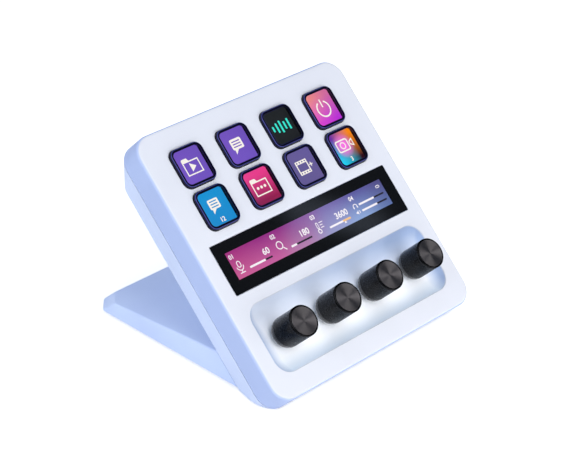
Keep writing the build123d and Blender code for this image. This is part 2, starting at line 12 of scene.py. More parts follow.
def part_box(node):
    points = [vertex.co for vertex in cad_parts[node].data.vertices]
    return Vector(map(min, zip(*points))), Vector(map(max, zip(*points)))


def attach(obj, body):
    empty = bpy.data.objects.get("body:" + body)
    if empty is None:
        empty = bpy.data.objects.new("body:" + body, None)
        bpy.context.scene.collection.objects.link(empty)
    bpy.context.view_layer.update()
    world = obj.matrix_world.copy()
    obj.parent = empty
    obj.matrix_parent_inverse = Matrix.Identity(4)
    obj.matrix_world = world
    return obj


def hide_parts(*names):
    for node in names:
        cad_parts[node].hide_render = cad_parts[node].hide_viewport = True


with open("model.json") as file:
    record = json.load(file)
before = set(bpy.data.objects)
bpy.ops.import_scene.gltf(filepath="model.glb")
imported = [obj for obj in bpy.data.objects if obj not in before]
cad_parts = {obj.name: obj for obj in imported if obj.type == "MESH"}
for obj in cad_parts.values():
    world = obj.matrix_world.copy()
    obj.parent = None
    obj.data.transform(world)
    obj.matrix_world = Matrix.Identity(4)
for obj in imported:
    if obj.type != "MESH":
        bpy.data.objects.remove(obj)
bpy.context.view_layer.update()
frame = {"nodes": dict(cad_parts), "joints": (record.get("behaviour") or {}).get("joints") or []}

bl_info = {
    "name": "Desk Macro Keypad",
    "version": (1, 0, 0),
    "blender": (4, 5, 0),
    "location": "3D View > Sidebar > Keypad",
    "description": "Lit keys, touch strip, knurled dials and finishes of a desk macro keypad",
    "category": "Object",
}

mm = 0.001
key_numbers = range(1, 9)
dial_numbers = range(1, 5)
film = 0.05 * mm            # thickness of printed and lit films
smooth_angle = 32           # edges of turned and moulded pieces are smooth below it, in degrees
dial_row = 40.6 * mm        # row of dial axes below the middle of the face
camera_place = Vector((-0.642637, -0.551154, 0.473814))     # from the middle of the face
camera_ahead = Vector((0.652277, 0.574598, -0.494340)).normalized()
camera_above = Vector((0.333517, 0.368086, 0.867917)).normalized()
mirrored_way = Vector((0.652, -0.461, 0.602))               # where the camera sees the strip mirror
band_middle = Vector((0.67182, -0.453008, 0.586039))        # a soft band of light in that mirror
band_normal = Vector((0.455333, 0.876612, 0.155638))


def srgb(red, green, blue):
    """Linear colour from screen values of 0 to 255."""
    def linear(value):
        value /= 255
        return value / 12.92 if value <= 0.04045 else ((value + 0.055) / 1.055) ** 2.4
    return (linear(red), linear(green), linear(blue))


def face_frame():
    """Matrix from the flat drawing of the head (x right, y up, z out of the face) to the model."""
    turns = [joint for joint in frame["joints"] if joint["name"].endswith("_turn")]
    out = Vector(turns[0]["axis"]).normalized()
    right = Vector((1, 0, 0))
    up = out.cross(right)
    middle = sum((Vector(joint["pos_m"]) for joint in turns), Vector()) / len(turns)
    origin = middle + up * dial_row
    return Matrix.Translation(origin) @ Matrix((right, up, out)).transposed().to_4x4()


face = face_frame()
on_flat = face.inverted()
face_out = face.to_3x3().col[2]


def flat_middle(node):
    """Middle of a CAD node in the flat drawing of the head, at the level of the face."""
    low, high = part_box(node)
    middle = on_flat @ ((low + high) / 2)
    return Vector((middle.x, middle.y, 0))


# ---- settings ----
def colour(name, thing, default):
    return FloatVectorProperty(name=name, description=f"Colour of {thing}", default=default,
                               subtype="COLOR", size=3, min=0, max=1)


def number(name, description, default, unit="NONE", least=0, most=1000):
    return FloatProperty(name=name, description=description, default=default, min=least, max=most,
                         unit=unit, precision=5)


def length(name, description, default, least=0):
    return number(name, description, default, "LENGTH", least)


class KeypadShellSettings(PropertyGroup):
    face_colour: colour("Face", "the face", srgb(216, 217, 223))
    # Painted blue shade: the sides of the white shell get a bluer, darker colour than the face.
    side_shade_colour: colour("Sides", "the head's sides", srgb(184, 197, 231))
    # Painted blue shade: the rear shell and the foot are bluer copies of the white plastic.
    rear_shade_colour: colour("Rear shell", "the rear shell", srgb(222, 230, 251))
    foot_shade_colour: colour("Foot", "the foot", srgb(213, 225, 255))
    seal_colour: colour("Seal", "the seal in the seam", srgb(44, 56, 118))
    # Painted light and shade in the trough: a brighter floor and lower slope, and a darker, bluer
    # upper slope.
    trough_floor_light: colour("Trough floor", "the trough's floor", srgb(252, 253, 255))
    trough_upper_shade: colour("Trough upper slope", "the upper slope", srgb(168, 188, 222))
    trough_lower_light: colour("Trough lower slope", "the lower slope", srgb(229, 241, 253))
    roughness: number("Roughness", "Roughness of the moulded shells", 0.46, most=1)
    grain: length("Grain", "Width of the moulded grain", 0.00035)


class KeypadKeySettings(PropertyGroup):
    window: length("Window", "Side of a key's clear window", 0.01738)
    window_corner: length("Window corner", "Corner radius of the window", 0.00262)
    lens_top: length("Lens top", "Height of the window's top above the face", 0.0015)
    picture_depth: length("Picture depth", "Depth of the picture under the window's top", 0.0024)
    picture_width: length("Picture width", "Width of the lit picture", 0.0163)
    picture_height: length("Picture height", "Height of the lit picture", 0.0173)
    picture_corner: length("Picture corner", "Corner radius of the lit picture", 0.0013)
    body_colour: colour("Body", "the key's body", srgb(7, 7, 20))
    # Painted highlight: the bluish line along a key's rounded edge.
    edge_highlight_colour: colour("Edge", "the rounded edge of a key's body", srgb(64, 70, 140))
    sign_colour: colour("Sign", "the signs on the keys", srgb(255, 246, 238))
    glow: number("Glow", "Strength of the lit pictures", 1.0)


class KeypadStripSettings(PropertyGroup):
    picture_width: length("Picture width", "Width of the lit strip", 0.109)
    picture_height: length("Picture height", "Height of the lit strip", 0.0138)
    picture_y: length("Picture middle", "Middle of the lit strip, up the face", -0.0027, least=-1)
    border_colour: colour("Border", "the border printed round the strip", srgb(12, 13, 15))
    sign_colour: colour("Signs", "the numbers and bars", srgb(250, 244, 250))
    dark_bar: colour("Empty bar", "a bar's empty part", srgb(38, 36, 48))
    warm_bar: colour("Warm bar", "the warm part of a bar", srgb(250, 196, 130))
    glow: number("Glow", "Strength of the lit strip", 1.0)


class KeypadDialSettings(PropertyGroup):
    radius: length("Radius", "Radius of a dial", 0.0077)
    top: length("Top", "Top of a dial's rim above the face", 0.01425)
    foot_round: length("Foot rounding", "Rounding of a dial's foot", 0.003)
    knurl_depth: length("Knurl depth", "Depth of the knurling", 0.00006)
    teeth: IntProperty(name="Teeth", description="Knurling teeth round a dial", default=84, min=12)
    body_colour: colour("Side", "a dial's side", (0.0075, 0.008, 0.0098))
    cap_colour: colour("Cap", "a dial's spun cap", (0.11, 0.102, 0.105))


class KeypadStageSettings(PropertyGroup):
    floor_colour: colour("Floor", "the floor", (0.86, 0.87, 0.89))
    sky_colour: colour("Sky", "the light from all round", (0.685, 0.796, 1.0))
    sky_strength: number("Sky strength", "Light from all round", 0.529)
    key_power: number("Key light", "Power of the light that faces the keys", 9.6, "POWER")
    side_power: number("Side light", "Power of the light on the left", 3.35, "POWER")
    fill_power: number("Front fill", "Power of the soft light in front", 1.9, "POWER")
    band_strength: number("Soft band", "Light of the soft band that the strip mirrors", 0.75)


# ---- modelling helpers ----
def fresh_start():
    """Leave edit mode and select nothing."""
    if bpy.context.mode != "OBJECT":
        bpy.ops.object.mode_set(mode="OBJECT")
    bpy.ops.object.select_all(action="DESELECT")


def link(piece):
    bpy.context.scene.collection.objects.link(piece)
    return piece


def take(*pieces):
    """Select only these pieces; the first is the active one."""
    fresh_start()
    for piece in pieces:
        piece.select_set(True)
    bpy.context.view_layer.objects.active = pieces[0]


def open_mesh(piece):
    """Go into edit mode on a piece with nothing selected."""
    take(piece)
    bpy.ops.object.mode_set(mode="EDIT")
    bpy.ops.mesh.select_all(action="DESELECT")


def choose(piece, kind, test):
    """In edit mode, select only the edges or vertices that pass a test."""
    bpy.ops.mesh.select_mode(type=kind)
    bpy.ops.mesh.select_all(action="DESELECT")
    mesh = bmesh.from_edit_mesh(piece.data)
    for part in mesh.edges if kind == "EDGE" else mesh.verts:
        if test(part):
            part.select_set(True)
    mesh.select_flush_mode()
    bmesh.update_edit_mesh(piece.data)


def rounded_block(name, width, height, top, bottom, corner, edge):
    """Block with round corners and rounded upper edges, centred on the flat."""
    fresh_start()
    bpy.ops.mesh.primitive_cube_add(size=1, location=(0, 0, (top + bottom) / 2))
    piece = bpy.context.object
    piece.name = name
    piece.scale = (width, height, top - bottom)
    bpy.ops.object.transform_apply()
    open_mesh(piece)
    choose(piece, "EDGE", lambda side: side.verts[0].co.z != side.verts[1].co.z)
    bpy.ops.mesh.bevel(offset=corner, segments=8, affect="EDGES")
    choose(piece, "EDGE", lambda side: all(abs(vert.co.z - top) < 1e-7 for vert in side.verts))
    bpy.ops.mesh.bevel(offset=edge, segments=3, affect="EDGES")
    bpy.ops.object.mode_set(mode="OBJECT")
    return piece


def spun(name, profile, steps):
    """Piece turned round the z axis from its outline, a list of (radius, height)."""
    fresh_start()
    bpy.ops.mesh.primitive_plane_add(size=1)
    piece = bpy.context.object
    piece.name = name
    open_mesh(piece)
    bpy.ops.mesh.select_all(action="SELECT")
    bpy.ops.mesh.delete(type="VERT")
    mesh = bmesh.from_edit_mesh(piece.data)
    verts = [mesh.verts.new((radius, 0, height)) for radius, height in profile]
    for first, second in zip(verts, verts[1:]):
        mesh.edges.new((first, second))
    bmesh.update_edit_mesh(piece.data)
    bpy.ops.mesh.select_all(action="SELECT")
    bpy.ops.mesh.spin(steps=steps, angle=2 * pi, center=(0, 0, 0), axis=(0, 0, 1))
    bpy.ops.mesh.select_all(action="SELECT")
    bpy.ops.mesh.remove_doubles(threshold=2e-6)
    bpy.ops.mesh.normals_make_consistent(inside=False)
    bpy.ops.object.mode_set(mode="OBJECT")
    return piece


def copy_of(piece, name):
    """Copy of a piece with a mesh of its own."""
    twin = piece.copy()
    twin.data = piece.data.copy()
    twin.name = name
    return link(twin)


def joined(name, pieces):
    """Several pieces as one."""
    take(*pieces)
    if len(pieces) > 1:
        bpy.ops.object.join()
    piece = bpy.context.object
    piece.name = name
    return piece


def seat(piece, spot, body, slot, material, replaced=None, smooth=0):
    """Put a flat-drawn piece in its place on the head, and make it ride a body."""
    piece.matrix_world = face @ Matrix.Translation(spot)
    take(piece)
    bpy.ops.object.transform_apply()
    if smooth:
        bpy.ops.object.shade_smooth_by_angle(angle=radians(smooth))
    piece.data.materials.clear()
    piece.data.materials.append(material)
    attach(piece, body)
    if replaced:
        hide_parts(replaced)
    return piece


# ---- flat signs ----
def arc(radius, start, end, x, y, steps):
    """Points along an arc, with its angles in degrees."""
    angles = [radians(start + (end - start) * step / steps) for step in range(steps + 1)]
    return [(x + radius * cos(angle), y + radius * sin(angle)) for angle in angles]


def box_outline(width, height, x=0.0, y=0.0, corner=0.0):
    """Corners of a rectangle, rounded where a corner radius is given, in millimetres."""
    points = []
    for turn, (side_x, side_y) in enumerate(((1, 1), (-1, 1), (-1, -1), (1, -1))):
        middle = (x + side_x * (width / 2 - corner), y + side_y * (height / 2 - corner))
        points += arc(corner, 90 * turn, 90 * turn + 90, *middle, 4) if corner else [middle]
    return points


def round_outline(radius, x=0.0, y=0.0):
    return arc(radius, 0, 345, x, y, 23)


def arc_band(radius, width, start, end, x=0.0, y=0.0):
    """Closed outline of a band along an arc, with its angles in degrees."""
    outer, inner = (arc(reach, start, end, x, y, 20)
                    for reach in (radius + width / 2, radius - width / 2))
    return outer + inner[::-1]


def stroke(x0, y0, x1, y1, width):
    """Closed outline of a straight line with square ends."""
    along = Vector((x1 - x0, y1 - y0)).normalized()
    out = Vector((-along.y, along.x)) * width / 2
    return [(x0 + out.x, y0 + out.y), (x1 + out.x, y1 + out.y),
            (x1 - out.x, y1 - out.y), (x0 - out.x, y0 - out.y)]


def stencil(name, shapes, shift=(0, 0)):
    """Flat sign from shapes, each a list of outlines in millimetres whose inner ones are holes."""
    pieces = []
    for outlines in shapes:
        curve = bpy.data.curves.new(name, "CURVE")
        curve.dimensions = "2D"
        curve.fill_mode = "BOTH"
        curve.extrude = film / 2
        for outline in outlines:
            spline = curve.splines.new("POLY")
            spline.points.add(len(outline) - 1)
            for point, (x, y) in zip(spline.points, outline):
                point.co = ((x + shift[0]) * mm, (y + shift[1]) * mm, 0, 1)
            spline.use_cyclic_u = True
        take(link(bpy.data.objects.new(name, curve)))
        bpy.ops.object.convert(target="MESH")
        pieces.append(bpy.context.object)
    return joined(name, pieces)


def numeral(text, size, x, y, align="LEFT", weight=0.07):
    """Number lying on the flat, with its size, place and extra weight in millimetres."""
    fresh_start()
    bpy.ops.object.text_add()
    piece = bpy.context.object
    letters = piece.data
    letters.body = text
    letters.size = size * mm
    letters.align_x = align
    letters.align_y = "CENTER"
    letters.extrude = film / 2
    letters.offset = weight * mm
    letters.resolution_u = 3
    take(piece)
    bpy.ops.object.convert(target="MESH")
    piece = bpy.context.object
    piece.location = (x * mm, y * mm, 0)
    bpy.ops.object.transform_apply()
    return piece


# ---- material helpers ----
class Paint:
    """Node tree, with short ways to add its nodes."""

    def __init__(self, tree):
        self.tree = tree

    def put(self, socket, value):
        """Link a socket or give it a value; a colour of three numbers gets its fourth."""
        if isinstance(value, bpy.types.NodeSocket):
            self.tree.links.new(value, socket)
        elif socket.type == "RGBA" and len(value) == 3:
            socket.default_value = (*value, 1)
        else:
            socket.default_value = value

    def add(self, kind, sockets=None, **settings):
        """New node, with its settings and its sockets."""
        node = self.tree.nodes.new("ShaderNode" + kind)
        for name, value in settings.items():
            setattr(node, name, value)
        for name, value in (sockets or {}).items():
            self.put(node.inputs[name], value)
        return node

    def feed(self, node, sockets):
        """Give a node's sockets, named with underscores for spaces, their values."""
        for name, value in sockets.items():
            self.put(node.inputs[name.replace("_", " ")], value)

    def math(self, operation, *values, **settings):
        return self.add("Math", dict(enumerate(values)), operation=operation, **settings).outputs[0]

    def vector_math(self, operation, *values):
        """Vector, or a number where the operation gives one."""
        node = self.add("VectorMath", dict(enumerate(values)), operation=operation)
        return node.outputs["Value" if operation in ("DOT_PRODUCT", "LENGTH") else "Vector"]

    def ranged(self, value, low, high, start=0.3, end=0.7, **settings):
        """Value moved from one range to another."""
        return self.add("MapRange", {"Value": value, "From Min": start, "From Max": end,
                                     "To Min": low, "To Max": high}, **settings).outputs[0]

    def around(self, value, middle, reach):
        """Value moved to a small range round a middle."""
        return self.ranged(value, middle - reach, middle + reach)

    def mix(self, mask, first, second):
        return self.add("Mix", {0: mask, 6: first, 7: second}, data_type="RGBA").outputs[2]

    def tone(self, mask, base, spread):
        """Colour that a mask moves from its darker to its lighter neighbour."""
        return self.mix(mask, [value * (1 - spread) for value in base],
                        [min(1, value * (1 + spread)) for value in base])

    def noise(self, place, scale, detail=2.0, roughness=0.5):
        return self.add("TexNoise", {"Vector": place, "Scale": scale, "Detail": detail,
                                     "Roughness": roughness}).outputs["Fac"]

    def bump(self, height, strength, distance):
        return self.add("Bump", {"Height": height, "Strength": strength,
                                 "Distance": distance}).outputs[0]


def grain_group(paint, entry):
    """Moulded surface: fine grain for relief, soft clouds and specks for tone and gloss."""
    place, scale = entry["Place"], entry["Scale"]
    cells = paint.add("TexVoronoi", {"Vector": place, "Scale": scale}, feature="SMOOTH_F1")
    fine = paint.noise(place, scale, 3.0, 0.6)
    return {"Grain": paint.math("ADD", fine, cells.outputs["Distance"]),
            "Cloud": paint.noise(place, 38.0), "Speck": paint.noise(place, 900.0)}


def outline_group(paint, entry):
    """Mask that is 1 on the sides of a rounded rectangle and 0 on its face."""
    mirrored = paint.vector_math("ABSOLUTE", entry["Place"])
    beyond = paint.vector_math("SUBTRACT", mirrored, entry["Half Size"])
    outer = paint.vector_math("MAXIMUM", beyond, (0, 0, 0))
    reach = paint.vector_math("LENGTH", paint.vector_math("MULTIPLY", outer, (1, 1, 0)))
    start = paint.math("SUBTRACT", entry["Corner"], entry["Edge"])
    end = paint.math("MULTIPLY_ADD", entry["Edge"], 0.5, start)
    return {"Mask": paint.ranged(reach, 0, 1, start, end)}


def brushed_group(paint, entry):
    """Fine parallel lines of drawn or brushed metal."""
    stretched = paint.add("Mapping", {"Vector": entry["Place"], "Scale": (1, 14, 14)}).outputs[0]
    return {"Lines": paint.noise(stretched, entry["Scale"], 4.0)}


group_plans = {     # builder, vector inputs and number inputs
    "Moulded Grain": (grain_group, ["Place"], ["Scale"]),
    "Outline Mask": (outline_group, ["Place", "Half Size"], ["Corner", "Edge"]),
    "Brushed Lines": (brushed_group, ["Place"], ["Scale"]),
}


def group_named(name):
    """Shared node group, built the first time it is asked for."""
    if name in bpy.data.node_groups:
        return bpy.data.node_groups[name]
    tree = bpy.data.node_groups.new(name, "ShaderNodeTree")
    build, vectors, numbers = group_plans[name]
    for kind, sockets in (("NodeSocketVector", vectors), ("NodeSocketFloat", numbers)):
        for socket in sockets:
            tree.interface.new_socket(socket, in_out="INPUT", socket_type=kind)
    leave = tree.nodes.new("NodeGroupOutput")
    for socket, value in build(Paint(tree), tree.nodes.new("NodeGroupInput").outputs).items():
        tree.interface.new_socket(socket, in_out="OUTPUT", socket_type="NodeSocketFloat")
        tree.links.new(value, leave.inputs[socket])
    return tree


class Material(Paint):
    """Material with only a Principled shader."""

    def __init__(self, name):
        self.material = bpy.data.materials.new(name)
        self.material.use_nodes = True
        super().__init__(self.material.node_tree)

    @cached_property
    def place(self):
        """Object coordinates, which stay with the piece."""
        return self.add("TexCoord").outputs["Object"]

    def group(self, name, **sockets):
        """Outputs of a shared node group."""
        node = self.add("Group", {"Place": self.place}, node_tree=group_named(name))
        self.feed(node, sockets)
        return node.outputs[:]

    def finish(self, **sockets):
        """Feed the shader and give the material."""
        self.feed(self.tree.nodes["Principled BSDF"], sockets)
        return self.material

    def lit(self, tone, strength):
        """Finish as a lit picture."""
        return self.finish(Base_Color=(0.01, 0.01, 0.012), Roughness=0.5, Specular_IOR_Level=0.0,
                           Emission_Color=tone, Emission_Strength=strength)


def moulded(name, base, roughness, grain, depth=0.00001, spread=0.03):
    """Moulded plastic or rubber with a fine grain, faint clouds and specks."""
    paint = Material(name)
    relief, cloud, speck = paint.group("Moulded Grain", Scale=1 / grain)
    return paint.finish(
        Base_Color=paint.tone(paint.ranged(cloud, 0, 1), base, spread),
        Roughness=paint.around(speck, roughness, 0.05),
        Normal=paint.bump(relief, 0.35, depth))


def metal(name, base, roughness, scale=400.0):
    """Drawn or brushed metal."""
    paint = Material(name)
    lines, = paint.group("Brushed Lines", Scale=scale)
    return paint.finish(
        Base_Color=paint.tone(paint.ranged(lines, 0, 1), base, 0.15),
        Roughness=paint.around(lines, roughness, 0.06), Metallic=1.0,
        Normal=paint.bump(lines, 0.2, 0.00002))


def dress(node, material):
    """Give a CAD node its finish."""
    mesh = frame["nodes"][node].data
    mesh.materials.clear()
    mesh.materials.append(material)


# ---- shells and foot ----
def face_size():
    """Width and height of the face."""
    points = [on_flat @ vert.co for vert in frame["nodes"]["front_shell"].data.vertices]
    return [max(point[axis] for point in points) - min(point[axis] for point in points)
            for axis in (0, 1)]


def shell_material(settings):
    """Near-white face and trough floor, with painted light and shade in the trough and painted blue
    shade on the sides.
    """
    paint = Material("moulded_front_shell_painted_shade")
    moved = paint.vector_math("SUBTRACT", paint.place, face.translation)
    turned = paint.add("VectorRotate", {"Vector": moved, "Angle": -face.to_euler().x},
                       rotation_type="X_AXIS").outputs[0]
    corner = 10 * mm
    half = [side / 2 - corner for side in face_size()]
    outline, = paint.group("Outline Mask", Place=turned, Half_Size=(*half, 0), Corner=corner,
                           Edge=0.8 * mm)
    relief, cloud, speck = paint.group("Moulded Grain", Scale=1 / settings.grain)
    soft = paint.ranged(cloud, 0, 1)
    face_tone = paint.tone(soft, settings.face_colour, 0.012)
    # Painted blue shade on the sides, where the outline mask leaves the face.
    side_shade_tone = paint.tone(soft, settings.side_shade_colour, 0.02)
    flat = paint.add("SeparateXYZ", {0: turned}).outputs
    # Painted shade on the trough's upper slope, stirred by soft clouds, stronger towards the right
    # and filling its two ends.
    up_face = paint.ranged(flat["Y"], 0, 1, -43 * mm, -25 * mm)
    low_down = paint.ranged(flat["Y"], 1, 0, -57 * mm, -50 * mm)
    near_end = paint.ranged(paint.math("ABSOLUTE", flat["X"]), 0, 1, 52 * mm, 59 * mm)
    drifting = paint.math("MULTIPLY", up_face, paint.ranged(cloud, 0.9, 1.05))
    rightwards = paint.ranged(flat["X"], 0.4, 1.1, -60 * mm, 60 * mm)
    sideways = paint.math("MULTIPLY", drifting, rightwards)
    shaded = paint.math("MAXIMUM", sideways, near_end, use_clamp=True)
    # Painted light on the trough's floor and lower slope.
    floor_tone = paint.mix(low_down, settings.trough_floor_light, settings.trough_lower_light)
    trough_light_and_shade = paint.mix(shaded, floor_tone, settings.trough_upper_shade)
    hollow = paint.ranged(flat["Z"], 1, 0, -0.7 * mm, -0.1 * mm)
    top_tone = paint.mix(hollow, face_tone, trough_light_and_shade)
    return paint.finish(
        Base_Color=paint.mix(outline, top_tone, side_shade_tone),
        Roughness=paint.around(speck, settings.roughness, 0.04),
        Normal=paint.bump(relief, 0.3, 0.00001), Specular_IOR_Level=0.4)


class KEYPAD_OT_finish_shells(Operator):
    """Give the shells, the seal, the foot and its pads their moulded finishes, with painted shade
    and light on the shells and the foot
    """
    bl_idname = "keypad.finish_shells"
    bl_label = "Finish Shells and Foot"

    def execute(self, context):
        settings = context.scene.keypad_shell
        shell = (settings.roughness, settings.grain)
        pads = moulded("pad_rubber", (0.03, 0.03, 0.033), 0.8, 0.0004, depth=0.00005, spread=0.2)
        for node, material in {
            "front_shell": shell_material(settings),
            # Rear shell, foot and cover take bluer colours that stand in for blue shade.
            "rear_shell": moulded("moulded_rear_shell", settings.rear_shade_colour, *shell),
            "stand_foot": moulded("moulded_foot", settings.foot_shade_colour, *shell),
            "foot_cover": moulded("moulded_cover", settings.foot_shade_colour, 0.55, 0.0006,
                                  depth=0.00003, spread=0.05),
            "seam_seal": moulded("seal_rubber", settings.seal_colour, 0.7, 0.0003),
            "rear_pads": pads, "front_pads": pads,
        }.items():
            dress(node, material)
        return {"FINISHED"}


# ---- parts inside ----
def board_material():
    """Green solder mask with copper tracks under it."""
    paint = Material("circuit_board")
    tracks = paint.add("TexBrick", {
        "Vector": paint.place, "Color1": (0.02, 0.16, 0.07), "Color2": (0.02, 0.13, 0.06),
        "Mortar": (0.05, 0.30, 0.13), "Scale": 260.0, "Mortar Size": 0.02}).outputs
    return paint.finish(
        Base_Color=tracks["Color"],
        Roughness=paint.around(paint.noise(paint.place, 120.0), 0.35, 0.07),
        Normal=paint.bump(tracks["Fac"], 0.4, 0.00003))


def striped_material(name, first, second, scale, roughness):
    """Film with fine conductors side by side."""
    paint = Material(name)
    stripes = paint.add("TexWave", {"Vector": paint.place, "Scale": scale}, bands_direction="X")
    return paint.finish(
        Base_Color=paint.mix(stripes.outputs["Fac"], first, second),
        Roughness=paint.around(paint.noise(paint.place, 700.0), roughness, 0.06))


def display_back_material(name, roughness):
    return striped_material(name, (0.012, 0.012, 0.016), (0.02, 0.02, 0.026), 1500.0, roughness)


class KEYPAD_OT_finish_inner_parts(Operator):
    """Give the boards, screws, encoders, socket and other inner parts their finishes"""
    bl_idname = "keypad.finish_inner_parts"
    bl_label = "Finish Inner Parts"

    def execute(self, context):
        encoder = moulded("encoder_plastic", (0.035, 0.035, 0.04), 0.45, 0.0004, spread=0.15)
        plated = metal("plated_steel", (0.60, 0.60, 0.60), 0.28, scale=900.0)
        for nodes, material in (
            ("main_board encoder_board", board_material()),
            ("board_chips key_guide",
             moulded("black_plastic", (0.02, 0.02, 0.022), 0.5, 0.0003, spread=0.15)),
            ("key_mat", moulded("mat_silicone", (0.62, 0.62, 0.63), 0.65, 0.0005, spread=0.06)),
            ("key_display", display_back_material("display_back", 0.2)),
            ("display_backplate ballast_plate", metal("drawn_steel", (0.56, 0.56, 0.58), 0.32)),
            ("ribbon_cables",
             striped_material("ribbon_film", (0.42, 0.22, 0.05), (0.55, 0.34, 0.10), 900.0, 0.35)),
            ("usb_c_socket encoder_nuts board_screws", plated),
            ("encoder_housings", encoder),
            ("shell_screws foot_screws cover_screws",
             metal("black_screw_steel", (0.10, 0.10, 0.11), 0.38, scale=700.0)),
        ):
            for node in nodes.split():
                dress(node, material)
        for number in dial_numbers:
            dress(f"dial_plunger_{number}", encoder)
            dress(f"dial_shaft_{number}", plated)
        return {"FINISHED"}


# ---- lit keys ----
def picture_material(name, corners, centre, strength):
    """Lit picture blended from the colours of its four corners and its middle."""
    paint = Material(name)
    uv = paint.add("UVMap", uv_map="picture").outputs[0]
    across = paint.add("SeparateXYZ", {0: uv}).outputs
    x, y = (paint.ranged(across[axis], 0, 1, 0.12, 0.88) for axis in (0, 1))
    tone = paint.mix(y, paint.mix(x, *corners[2:]), paint.mix(x, *corners[:2]))
    if centre:
        nearer = paint.add("Mapping", {"Vector": uv, "Location": (-1.2, -1.5, 0),
                                       "Scale": (2.6, 2.6, 2.6)}).outputs[0]
        glow = paint.add("TexGradient", {"Vector": nearer}, gradient_type="SPHERICAL")
        tone = paint.mix(paint.ranged(glow.outputs["Fac"], 0, 1, 0.0, 0.75), tone, centre)
    pixels = paint.ranged(paint.noise(uv, 90.0, 1.0), 0, 0.05)
    return paint.lit(paint.mix(pixels, tone, (0, 0, 0)), strength)


def picture_uv(piece):
    """UV map that runs from 0 to 1 over a flat picture."""
    layer = piece.data.uv_layers.new(name="picture")
    verts = piece.data.vertices
    spans = [(min(vert.co[axis] for vert in verts), max(vert.co[axis] for vert in verts))
             for axis in (0, 1)]
    for loop in piece.data.loops:
        layer.data[loop.index].uv = [(verts[loop.vertex_index].co[axis] - low) / (high - low)
                                     for axis, (low, high) in enumerate(spans)]


def lit_material(name, base, strength):
    """Lit sign with a faint shimmer."""
    paint = Material(name)
    return paint.lit(paint.tone(paint.noise(paint.place, 2500.0), base, 0.05), strength)


def glass_material(name, ior):
    """Clear window with a very fine haze."""
    paint = Material(name)
    return paint.finish(
        Base_Color=(1, 1, 1), Transmission_Weight=1.0, IOR=ior,
        Roughness=paint.around(paint.noise(paint.place, 900.0), 0.02, 0.004))


def key_body_material(settings):
    """Polished near-black plastic, with a painted bluish highlight along its rounded edge."""
    paint = Material("polished_key_body")
    _, cloud, speck = paint.group("Moulded Grain", Scale=2500.0)
    # Painted highlight mask: a band of the rounded edge, where the surface leans part way from the
    # face.
    lean = paint.vector_math("DOT_PRODUCT", paint.add("TexCoord").outputs["Normal"], face_out)
    edge = paint.math("MULTIPLY", paint.ranged(lean, 0, 1, 0.62, 0.86),
                      paint.ranged(lean, 1, 0, 0.88, 0.99))
    plain = paint.tone(cloud, settings.body_colour, 0.2)
    return paint.finish(
        Base_Color=paint.mix(edge, plain, settings.edge_highlight_colour),
        Roughness=paint.around(speck, 0.11, 0.03), Specular_IOR_Level=0.32,
        Specular_Tint=(0.5, 0.45, 1.0))


def folder_sign(width, height, inner):
    """Folder outline with a tab, and what is drawn in it."""
    line = 0.62
    left, right = -width / 2, width / 2
    low, high = -height / 2, height / 2
    shoulder = high - 1.5
    outer = [(left, low), (right, low), (right, shoulder), (left + 4.3, shoulder),
             (left + 3.5, high), (left + 0.5, high), (left, high - 0.5)]
    hole = [(left + line, low + line), (right - line, low + line), (right - line, shoulder - line),
            (left + line, shoulder - line)]
    return [[outer, hole]] + inner


def bubble_sign(width, height):
    """Speech bubble with three lines of writing cut out of it."""
    body_low = -height / 2 + 2.2
    middle = (height / 2 + body_low) / 2
    body = box_outline(width, height / 2 - body_low, 0, middle, 0.8)
    left = -width / 2
    tail = [(left + 0.9, body_low), (left + 0.7, -height / 2), (left + 3.2, body_low)]
    outline = body[:14] + tail + body[14:]
    lines = [box_outline(width - 2.0, 0.55, 0, middle + step * 1.35, 0.2) for step in (-1, 0, 1)]
    return [[outline] + lines]


def power_sign(radius):
    """Open ring with a bar through its gap."""
    line = 0.8
    return [[arc_band(radius, line, 118, 422)], [stroke(0, radius + 1.1, 0, 0.9, line)]]


def sound_sign(width, height):
    """Five sound-level bars."""
    heights = (0.45, 0.8, 1.0, 0.65, 0.9)
    step = width / len(heights)
    return [[box_outline(step * 0.42, height * share, (place - 2) * step, 0, 0.3)]
            for place, share in enumerate(heights)]


def film_sign(width, height):
    """Strip of film, and a plus."""
    outer = box_outline(width, height)
    window = box_outline(width - 1.3, height - 3.4)
    holes = [box_outline(0.8, 0.75, (place - 1.5) * width / 4.3, side * (height / 2 - 0.85))
             for place in range(4) for side in (-1, 1)]
    line, reach = 0.25, 1.1         # half the width and half the length of the plus
    corners = [(-line, line), (-line, reach), (line, reach)]
    corners += [(y, -x) for x, y in corners]
    corners += [(-x, -y) for x, y in corners]
    return [[outer, window] + holes, [[(x + width / 2 + 1.5, y) for x, y in corners]]]


def camcorder_sign(width, height):
    """Camcorder outline with a recording dot."""
    line = 0.7
    body = box_outline(width, height, -1.2, 0, 1.2)
    hole = box_outline(width - 2 * line, height - 2 * line, -1.2, 0, 0.7)
    front = width / 2 - 0.7
    horn = [(front, 0.9), (front + 2.5, 2.2), (front + 2.5, -2.2), (front, -0.9)]
    inside = [(front + 0.5, 0.45), (front + 2.0, 1.25), (front + 2.0, -1.25), (front + 0.5, -0.45)]
    dot = [round_outline(radius, -1.2, 0) for radius in (1.9, 1.35)]
    return [[body, hole], [horn, inside], dot]


